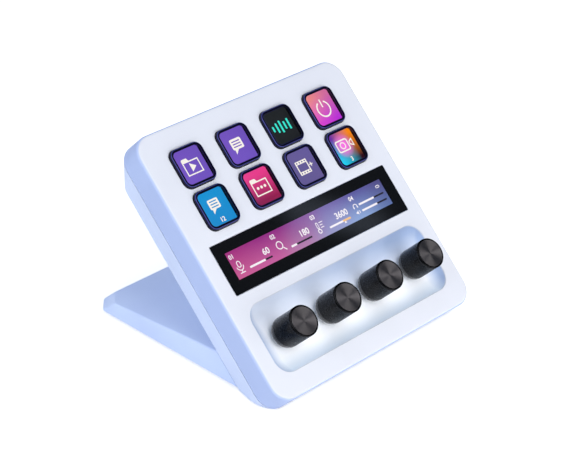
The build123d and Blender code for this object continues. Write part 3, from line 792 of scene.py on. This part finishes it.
def key_pictures():
    """Corner colours, middle colour, sign, its shift in millimetres and number of each key.

    The corners are the top left, top right, bottom left and bottom right ones."""
    purple, blue, coal, sunset, pink, slate, rainbow = ([srgb(*tone) for tone in four] for four in (
        ((118, 84, 196), (112, 82, 190), (120, 88, 200), (114, 84, 194)),
        ((20, 150, 218), (22, 148, 214), (28, 142, 210), (24, 142, 212)),
        ((30, 33, 34), (26, 29, 31), (28, 32, 33), (28, 30, 33)),
        ((242, 142, 138), (212, 108, 160), (222, 70, 212), (188, 48, 218)),
        ((238, 66, 146), (236, 58, 140), (138, 32, 82), (150, 28, 80)),
        ((104, 93, 154), (102, 91, 158), (100, 91, 150), (104, 92, 152)),
        ((104, 40, 168), (255, 138, 0), (30, 214, 250), (44, 6, 22))))
    play = [[[(-1.2, 1.6), (-1.2, -2.8), (2.2, -0.6)]]]
    dots = [[round_outline(0.75, x, -0.6)] for x in (-2.3, 0, 2.3)]
    return [
        (purple, None, folder_sign(9.9, 8.6, play), (0.0, 0.0), None),
        (purple, None, bubble_sign(7.2, 7.7), (0.0, 0.0), None),
        (coal, None, sound_sign(13.0, 6.4), (0.0, 0.0), None),
        (sunset, None, power_sign(4.1), (0.2, -0.4), None),
        (blue, None, bubble_sign(6.5, 7.2), (-0.2, 0.9), "12"),
        (pink, None, folder_sign(10.2, 8.8, dots), (0.0, 0.4), None),
        (slate, None, film_sign(7.6, 7.2), (-0.8, 0.0), None),
        (rainbow, srgb(255, 118, 235), camcorder_sign(8.4, 6.4), (0.0, 1.4), "3"),
    ]


class KEYPAD_OT_light_keys(Operator):
    """Give each key its polished body, clear window, lit picture and sign"""
    bl_idname = "keypad.light_keys"
    bl_label = "Make Lit Keys"

    def execute(self, context):
        settings = context.scene.keypad_keys
        body = key_body_material(settings)
        glass = glass_material("clear_key_window", 1.49)
        white = lit_material("key_sign_white", settings.sign_colour, settings.glow)
        cyan = lit_material("key_sign_cyan", srgb(60, 235, 215), settings.glow)
        top = settings.lens_top
        floor = top - settings.picture_depth
        plate = 0.15 * mm       # thickness of the picture's plate
        for number, (corners, middle, shapes, shift, text) in zip(key_numbers, key_pictures()):
            dress(f"key_cap_{number}", body)
            spot = flat_middle(f"key_cap_{number}")
            ride = (f"key_{number}", "key_clear")
            window = rounded_block(f"key_window_{number}", settings.window, settings.window, top,
                                   floor - 2 * plate, settings.window_corner, 0.3 * mm)
            seat(window, spot, *ride, glass, f"key_lens_{number}")
            window.data.materials.append(body)
            for side in window.data.polygons:      # all but its top and underside
                if abs(side.normal.dot(face_out)) < 0.98:
                    side.material_index = 1
            name = f"key_picture_{number}"
            picture = rounded_block(name, settings.picture_width, settings.picture_height, floor,
                                    floor - plate, settings.picture_corner, film)
            picture_uv(picture)
            seat(picture, spot, *ride, picture_material(name, corners, middle, settings.glow))
            sign = stencil(f"key_sign_{number}", shapes, shift)
            if text:
                sign = joined(sign.name, [sign, numeral(text, 3.2, 0, -6.3, "CENTER")])
            spot.z = floor + film / 2
            seat(sign, spot, *ride, cyan if number == 3 else white)
        return {"FINISHED"}


# ---- touch strip ----
def strip_picture_material(settings):
    """Lit strip that runs from magenta to blue-violet, lighter along its lower edge."""
    paint = Material("strip_picture")
    across = paint.add("SeparateXYZ", {0: paint.add("UVMap", uv_map="picture").outputs[0]}).outputs
    ramps = []
    for stops in (
        ((0.0, 166, 52, 129), (0.3, 148, 48, 134), (0.48, 138, 88, 160), (0.65, 118, 106, 174),
         (0.85, 94, 93, 162), (1.0, 84, 80, 138)),
        ((0.0, 204, 94, 150), (0.25, 200, 97, 160), (0.42, 182, 128, 176), (0.62, 152, 156, 204),
         (0.8, 138, 166, 216), (1.0, 96, 116, 172)),
    ):
        ramp = paint.add("ValToRGB", {"Fac": across[0]})
        ramp.color_ramp.interpolation = "EASE"
        points = ramp.color_ramp.elements
        for stop in stops[1:-1]:
            points.new(stop[0])
        for point, (place, *tone) in zip(points, stops):
            point.position = place
            point.color = (*srgb(*tone), 1)
        ramps.append(ramp.outputs[0])
    upper, lower = ramps
    height = paint.ranged(across[1], 0, 1, 0.05, 0.95)
    return paint.lit(paint.mix(height, lower, upper), settings.glow)


def border_material(settings):
    """Polished black glass."""
    paint = Material("black_strip_glass")
    _, cloud, speck = paint.group("Moulded Grain", Scale=5000.0)
    return paint.finish(
        Base_Color=paint.tone(cloud, settings.border_colour, 0.2),
        Roughness=paint.around(speck, 0.04, 0.01), IOR=1.5)


def strip_signs():
    """Light, dark and warm shapes of the strip's four fields, in millimetres."""
    bar, empty = (1.0, 0.3), (0.85, 0.25)       # height and corner

    def along(left, right, level, kind):
        height, corner = kind
        return [box_outline(right - left, height, (left + right) / 2, level, corner)]

    low = -6.5
    light = [along(10.5, 20.1, low, bar)]
    dark = []
    for left, split, right, level in ((-44.6, -34.181, -29.5, low), (-16.5, -12.756, -2.1, low),
                                      (34.3, 45.4, 52.6, -2.7), (34.3, 45.4, 52.6, -6.1)):
        light.append(along(left, split, level, bar))
        dark.append(along(split, right, level, empty))
    for level, reach in ((-2.0, 2.6), (-3.3, 1.8), (-4.6, 2.2)):     # marks of the thermometer
        light.append([stroke(5.6, level, 5.6 + reach, level, 0.4)])
    light += [
        # marker under the warm bar
        [[(21.2, -6.7), (22.0, -7.9), (20.4, -7.9)]],
        # microphone
        [box_outline(2.4, 3.4, -49.6, -2.9, 1.15), box_outline(1.5, 2.5, -49.6, -2.9, 0.7)],
        [arc_band(2.0, 0.45, 180, 360, -49.6, -3.9)],
        [stroke(-49.6, -6.1, -49.6, -7.0, 0.45)],
        [stroke(-51.2, -7.2, -48.0, -7.2, 0.45)],
        # magnifier
        [round_outline(2.1, -22.6, -3.4), round_outline(1.6, -22.6, -3.4)],
        [stroke(-21.1, -5.0, -19.5, -6.7, 0.55)],
        # thermometer
        [round_outline(1.25, 4.0, -6.0), round_outline(0.75, 4.0, -6.0)],
        [box_outline(1.5, 3.4, 4.0, -3.1, 0.7), box_outline(0.8, 2.6, 4.0, -3.1, 0.35)],
        # headphones and speaker
        [arc_band(1.3, 0.4, 0, 180, 31.6, -2.9)],
        [box_outline(0.7, 1.2, 30.4, -3.2, 0.2)],
        [box_outline(0.7, 1.2, 32.8, -3.2, 0.2)],
        [[(30.2, -5.7), (30.9, -5.7), (31.7, -5.0), (31.7, -7.2), (30.9, -6.5), (30.2, -6.5)]],
        [arc_band(1.0, 0.35, -45, 45, 31.8, -6.1)],
        # small pill at the far end
        [box_outline(2.6, 1.4, 51.1, 1.3, 0.65), box_outline(1.9, 0.7, 51.1, 1.3, 0.3)],
    ]
    return light, dark, [along(19.9, 25.5, low, bar)]


def strip_numbers():
    """Numbers of the four fields."""
    return [numeral(text, 3.1, x, 1.5)
            for text, x in (("01", -53.0), ("02", -25.5), ("03", 2.2), ("04", 30.0))] + [
        numeral(text, 4.4, x, -3.1, "RIGHT", 0.1)
        for text, x in (("60", -29.4), ("180", -2.0), ("3600", 25.6))]


class KEYPAD_OT_make_strip(Operator):
    """Make the touch strip: clear glass, printed border, lit picture and its signs"""
    bl_idname = "keypad.make_strip"
    bl_label = "Make Touch Strip"

    def execute(self, context):
        settings = context.scene.keypad_strip
        points = [on_flat @ vert.co for vert in frame["nodes"]["strip_glass"].data.vertices]
        low, high = (Vector([pick(point[axis] for point in points) for axis in range(3)])
                     for pick in (min, max))
        width, height, _ = high - low
        middle = (low + high) / 2
        margin = 0.34           # of the printed border inside the glass, in millimetres
        glass = ("root", "strip_glass_black")
        display = ("root", "display_glass")
        cover = rounded_block("strip_cover", width, height, high.z, low.z, 0.6 * mm, 0.15 * mm)
        seat(cover, (middle.x, middle.y, 0), *glass, glass_material("clear_strip_glass", 1.5),
             "strip_glass")
        border = stencil("strip_border", [[
            box_outline(width / mm - margin, height / mm - margin, 0, middle.y / mm, 0.45),
            box_outline(settings.picture_width / mm, settings.picture_height / mm, 0,
                        settings.picture_y / mm),
        ]])
        seat(border, (0, 0, high.z - 0.3 * film), *glass, border_material(settings))
        picture = rounded_block("strip_picture", settings.picture_width + 2 * film,
                                settings.picture_height + 2 * film, low.z + 1.5 * film,
                                low.z - 2 * film, 0.3 * mm, film / 2)
        picture_uv(picture)
        seat(picture, (0, settings.picture_y, 0), *display, strip_picture_material(settings))
        back = rounded_block("strip_module", 113 * mm, 18.5 * mm, low.z, low.z - 2.5 * mm, 0.8 * mm,
                             0.2 * mm)
        seat(back, (0, middle.y, 0), *display, display_back_material("strip_module_back", 0.25),
             "strip_display", smooth_angle)
        light, dark, warm = strip_signs()
        signs = joined("strip_signs", [stencil("strip_signs", light)] + strip_numbers())
        for sign, name, tone in (
            (signs, "strip_sign_white", settings.sign_colour),
            (stencil("strip_empty_bars", dark), "strip_empty_bar", settings.dark_bar),
            (stencil("strip_warm_bar", warm), "strip_warm_bar", settings.warm_bar),
        ):
            seat(sign, (0, 0, low.z + 2 * film), *display, lit_material(name, tone, settings.glow))
        return {"FINISHED"}


# ---- dials ----
def anodised_material(name, settings, coat, sheen, edge):
    """Black anodised aluminium, slightly worn on its raised points."""
    paint = Material(name)
    relief, _, speck = paint.group("Moulded Grain", Scale=3500.0)
    return paint.finish(
        Base_Color=paint.tone(speck, settings.body_colour, 0.25),
        Roughness=paint.around(speck, 0.27, 0.05), Metallic=1.0,
        Specular_Tint=(edge, edge, edge), Coat_Weight=coat, Coat_Roughness=sheen,
        Normal=paint.bump(relief, 0.15, 0.00001))


def spun_metal(settings):
    """Black anodised aluminium with the circles of turning, which give a fan of light."""
    paint = Material("black_anodised_cap")
    uv = paint.add("UVMap", uv_map="polar").outputs[0]
    drawn_out = paint.add("Mapping", {"Vector": uv, "Scale": (60.0, 0.4, 1.0)}).outputs[0]
    rings = paint.noise(drawn_out, 3.0, 4.0)
    tangent = paint.add("Tangent", direction_type="UV_MAP", uv_map="polar")
    return paint.finish(
        Base_Color=paint.tone(paint.ranged(rings, 0, 1), settings.cap_colour, 0.12),
        Roughness=paint.ranged(rings, 0.44, 0.5), Metallic=1.0, Anisotropic=0.93,
        Normal=paint.bump(rings, 0.12, 0.00002), Tangent=tangent.outputs[0])


start_way = Vector((1, 0))      # where the angles round a dial start


def in_mm(points):
    """Points of an outline, given in millimetres."""
    return [(radius * mm, height * mm) for radius, height in points]


def polar_uv(piece):
    """UV map with the radius along u and the angle along v, before the piece is placed."""
    layer = piece.data.uv_layers.new(name="polar")
    for polygon in piece.data.polygons:
        base = polygon.center.xy
        for corner, vertex in zip(polygon.loop_indices, polygon.vertices):
            spot = piece.data.vertices[vertex].co.xy
            turn = base.angle_signed(spot) if spot.length > 1e-6 else 0.0
            angle = start_way.angle_signed(base) + turn
            layer.data[corner].uv = (spot.length / (7 * mm), angle / (2 * pi))


def dial_profile(settings):
    """Outline of a dial from its middle out, down its side and up its hollow, in metres."""
    radius = settings.radius
    foot = settings.foot_round
    bottom = -3.9 * mm          # of the foot, in the dial's well
    points = in_mm([(0, 13.5), (7.06, 13.5)]) + [(7.06 * mm, settings.top)]
    # rim, then the groove turned under it, in from the radius and down from the top
    points += [(radius - inward * mm, settings.top - down * mm) for inward, down in (
        (0.14, 0.0), (0.05, 0.04), (0.02, 0.12), (0.06, 0.2), (0.5, 0.3), (0.5, 0.78), (0.2, 0.86),
        (0.08, 0.93), (0.0, 1.04))]
    knurl_top = settings.top - 1.12 * mm
    knurl_low = bottom + 4.2 * mm
    pitch = 2 * pi * radius / (2 * settings.teeth)
    rows = round((knurl_top - knurl_low) / pitch)
    rows += rows % 2
    points += [(radius, knurl_top - (knurl_top - knurl_low) * row / rows)
               for row in range(rows + 1)]
    points += arc(foot, 0, -74, radius - foot, bottom + foot, 8)
    points += [(5.5 * mm, points[-1][1])]
    points += in_mm([(5.5, 4), (4.5, 4), (4.5, -0.7), (3.05, -0.7), (3.05, 10.45), (0, 10.45)])
    return points, knurl_top, knurl_low, rows


def make_dial_body(settings):
    """Dial with a knurled side, and the finish of its smooth faces: 1 for foot, 2 for rim."""
    points, top, low, rows = dial_profile(settings)
    piece = spun("dial_body", points, 2 * settings.teeth)
    step = (top - low) / rows
    sector = pi / settings.teeth

    def raised(vert):
        if not low + step / 2 < vert.co.z < top - step / 2:
            return False
        if vert.co.xy.length < settings.radius - 0.1 * mm:
            return False
        ring = round((top - vert.co.z) / step)
        turn = round(start_way.angle_signed(vert.co.xy) / sector)
        return (ring + turn) % 2 == 1

    open_mesh(piece)
    choose(piece, "VERT", raised)
    bpy.ops.transform.shrink_fatten(value=-settings.knurl_depth)
    bpy.ops.object.mode_set(mode="OBJECT")
    smooth_faces = {}
    for polygon in piece.data.polygons:
        if polygon.center.z > top:
            smooth_faces[polygon.index] = 2
        elif polygon.center.z < low or polygon.center.xy.length < settings.radius - 0.5 * mm:
            smooth_faces[polygon.index] = 1
    return piece, smooth_faces


def make_dial_top():
    """Shallow dished cap with a fine bevel."""
    piece = spun("dial_top", in_mm([(0, 13.98), (2.2, 14.12), (4.4, 14.27), (6.6, 14.43),
                                    (6.72, 14.46), (6.8, 14.42), (6.84, 14.32), (6.84, 13.55),
                                    (0, 13.55)]), 96)
    polar_uv(piece)
    return piece


class KEYPAD_OT_make_dials(Operator):
    """Make the knurled dials and their spun caps"""
    bl_idname = "keypad.make_dials"
    bl_label = "Make Dials"

    def execute(self, context):
        settings = context.scene.keypad_dials
        knurled, *smooth_finishes = (
            anodised_material(f"black_anodised_{name}", settings, *gloss) for name, *gloss in (
                ("knurl", 0.16, 0.1, 1.0), ("plain", 1.0, 0.03, 1.0), ("rim", 0.25, 0.03, 0.2)))
        spun_cap = spun_metal(settings)
        body, smooth_faces = make_dial_body(settings)
        top = make_dial_top()
        for number in dial_numbers:
            spot = flat_middle(f"dial_cap_{number}")
            rider = f"turn_{number}"
            dial = seat(copy_of(body, f"dial_body_{number}"), spot, rider, "dial_black", knurled,
                        f"dial_{number}", smooth_angle)
            for finish in smooth_finishes:
                dial.data.materials.append(finish)
            for index, slot in smooth_faces.items():
                dial.data.polygons[index].material_index = slot
            seat(copy_of(top, f"dial_top_{number}"), spot, rider, "dial_cap_metal", spun_cap,
                 f"dial_cap_{number}", smooth_angle)
        for pattern in (body, top):
            bpy.data.objects.remove(pattern)
        return {"FINISHED"}


# ---- stage ----
def floor_material(settings):
    """Pale floor that runs out to white for the camera and keeps the soft shadow."""
    paint = Material("studio_floor")
    path = paint.add("LightPath").outputs
    seen = paint.math("MAXIMUM", path["Is Camera Ray"], path["Is Transmission Ray"])
    return paint.finish(
        Base_Color=paint.tone(paint.noise(paint.place, 3.0), settings.floor_colour, 0.01),
        Roughness=0.9, Specular_IOR_Level=0.0, Emission_Color=(1.0, 0.96, 0.92),
        Emission_Strength=paint.math("MULTIPLY", seen, 0.54))


def studio_world(settings):
    """Even light with a dim spot and a soft band that the strip mirrors, white to the camera."""
    world = bpy.data.worlds.new("studio")
    world.use_nodes = True
    paint = Paint(world.node_tree)
    way = paint.add("TexCoord").outputs["Generated"]
    towards, aside_band, along_band = (paint.vector_math("DOT_PRODUCT", way, direction)
                                       for direction in (mirrored_way, band_normal, band_middle))
    least_sky = 0.12 * settings.sky_strength
    dimmed = paint.ranged(towards, settings.sky_strength, least_sky, 0.80, 0.96)
    band = paint.ranged(paint.math("ABSOLUTE", aside_band), settings.band_strength, 0, 0.001,
                        0.0115, interpolation_type="SMOOTHSTEP")
    near_band = paint.ranged(along_band, 0, 1, 0.99956, 0.99983)
    light = paint.math("ADD", dimmed, paint.math("MULTIPLY", band, near_band))
    seen = paint.add("LightPath").outputs["Is Camera Ray"]
    sky = world.node_tree.nodes["Background"].inputs
    paint.put(sky["Color"], paint.mix(seen, settings.sky_colour, (1, 1, 1)))
    paint.put(sky["Strength"], paint.add("Mix", {0: seen, 2: light, 3: 1.0}).outputs[0])
    return world


def aimed(piece, place, right, up, back):
    """Put a lamp or a camera in its place, turned by its own axes."""
    turn = Matrix((right, up, back)).transposed().to_4x4()
    link(piece).matrix_world = Matrix.Translation(place) @ turn


def area_light(name, place, size, power, tint):
    """Soft light aimed at the middle of the face, with its width level."""
    lamp = bpy.data.lights.new(name, "AREA")
    lamp.shape = "RECTANGLE"
    lamp.size, lamp.size_y = size
    lamp.energy = power
    lamp.color = tint
    light = bpy.data.objects.new(name, lamp)
    light.visible_camera = False
    back = place.normalized()
    aside = Vector((0, 0, 1)).cross(back).normalized()
    aimed(light, face.translation + place, aside, back.cross(aside), back)


class KEYPAD_OT_set_stage(Operator):
    """Set the floor, the light and the camera"""
    bl_idname = "keypad.set_stage"
    bl_label = "Set Stage"

    def execute(self, context):
        settings = context.scene.keypad_stage
        fresh_start()
        bpy.ops.mesh.primitive_grid_add(x_subdivisions=12, y_subdivisions=12, size=8.0)
        floor = context.object
        floor.name = "floor"
        floor.data.materials.append(floor_material(settings))
        context.scene.world = studio_world(settings)

        front = face.to_3x3() @ Vector((0, 0.36, 1.42))
        area_light("key_light", front, (1.2, 0.9), settings.key_power, (1.0, 0.98, 0.96))
        area_light("front_fill", Vector((0.03, -0.42, 0.0)), (0.6, 0.4), settings.fill_power,
                   (1.0, 0.99, 0.97))
        area_light("side_light", Vector((-0.8, 0.1, 0.5)), (0.7, 0.5), settings.side_power,
                   (0.86, 0.92, 1.0))

        optics = bpy.data.cameras.new("camera")
        optics.lens = 129.17
        optics.sensor_width = 36.0
        optics.clip_start = 0.01
        camera = bpy.data.objects.new("camera", optics)
        aimed(camera, face.translation + camera_place, camera_ahead.cross(camera_above),
              camera_above, -camera_ahead)
        context.scene.camera = camera
        context.scene.view_settings.view_transform = "Standard"
        return {"FINISHED"}


class KEYPAD_PT_sidebar(Panel):
    """Steps and settings of the keypad"""
    bl_idname = "KEYPAD_PT_sidebar"
    bl_label = "Keypad"
    bl_space_type = "VIEW_3D"
    bl_region_type = "UI"
    bl_category = "Keypad"

    def draw(self, context):
        layout = self.layout
        for step in steps:
            layout.operator(step.bl_idname, text=step.bl_label)
        for name, group in settings_groups.items():
            box = layout.box()
            values = getattr(context.scene, name)
            for value in group.__annotations__:
                box.prop(values, value)


settings_groups = {
    "keypad_shell": KeypadShellSettings, "keypad_keys": KeypadKeySettings,
    "keypad_strip": KeypadStripSettings, "keypad_dials": KeypadDialSettings,
    "keypad_stage": KeypadStageSettings,
}
steps = (KEYPAD_OT_set_stage, KEYPAD_OT_finish_shells, KEYPAD_OT_finish_inner_parts,
         KEYPAD_OT_light_keys, KEYPAD_OT_make_strip, KEYPAD_OT_make_dials)
classes = (*settings_groups.values(), *steps, KEYPAD_PT_sidebar)


def register():
    for kind in classes:
        bpy.utils.register_class(kind)
    for name, group in settings_groups.items():
        setattr(bpy.types.Scene, name, PointerProperty(type=group))


def unregister():
    for name in settings_groups:
        delattr(bpy.types.Scene, name)
    for kind in reversed(classes):
        bpy.utils.unregister_class(kind)


def main():
    register()
    bpy.ops.keypad.set_stage()
    bpy.ops.keypad.finish_shells()
    bpy.ops.keypad.finish_inner_parts()
    bpy.ops.keypad.light_keys()
    bpy.ops.keypad.make_strip()
    bpy.ops.keypad.make_dials()


if __name__ == "__main__":
    main()
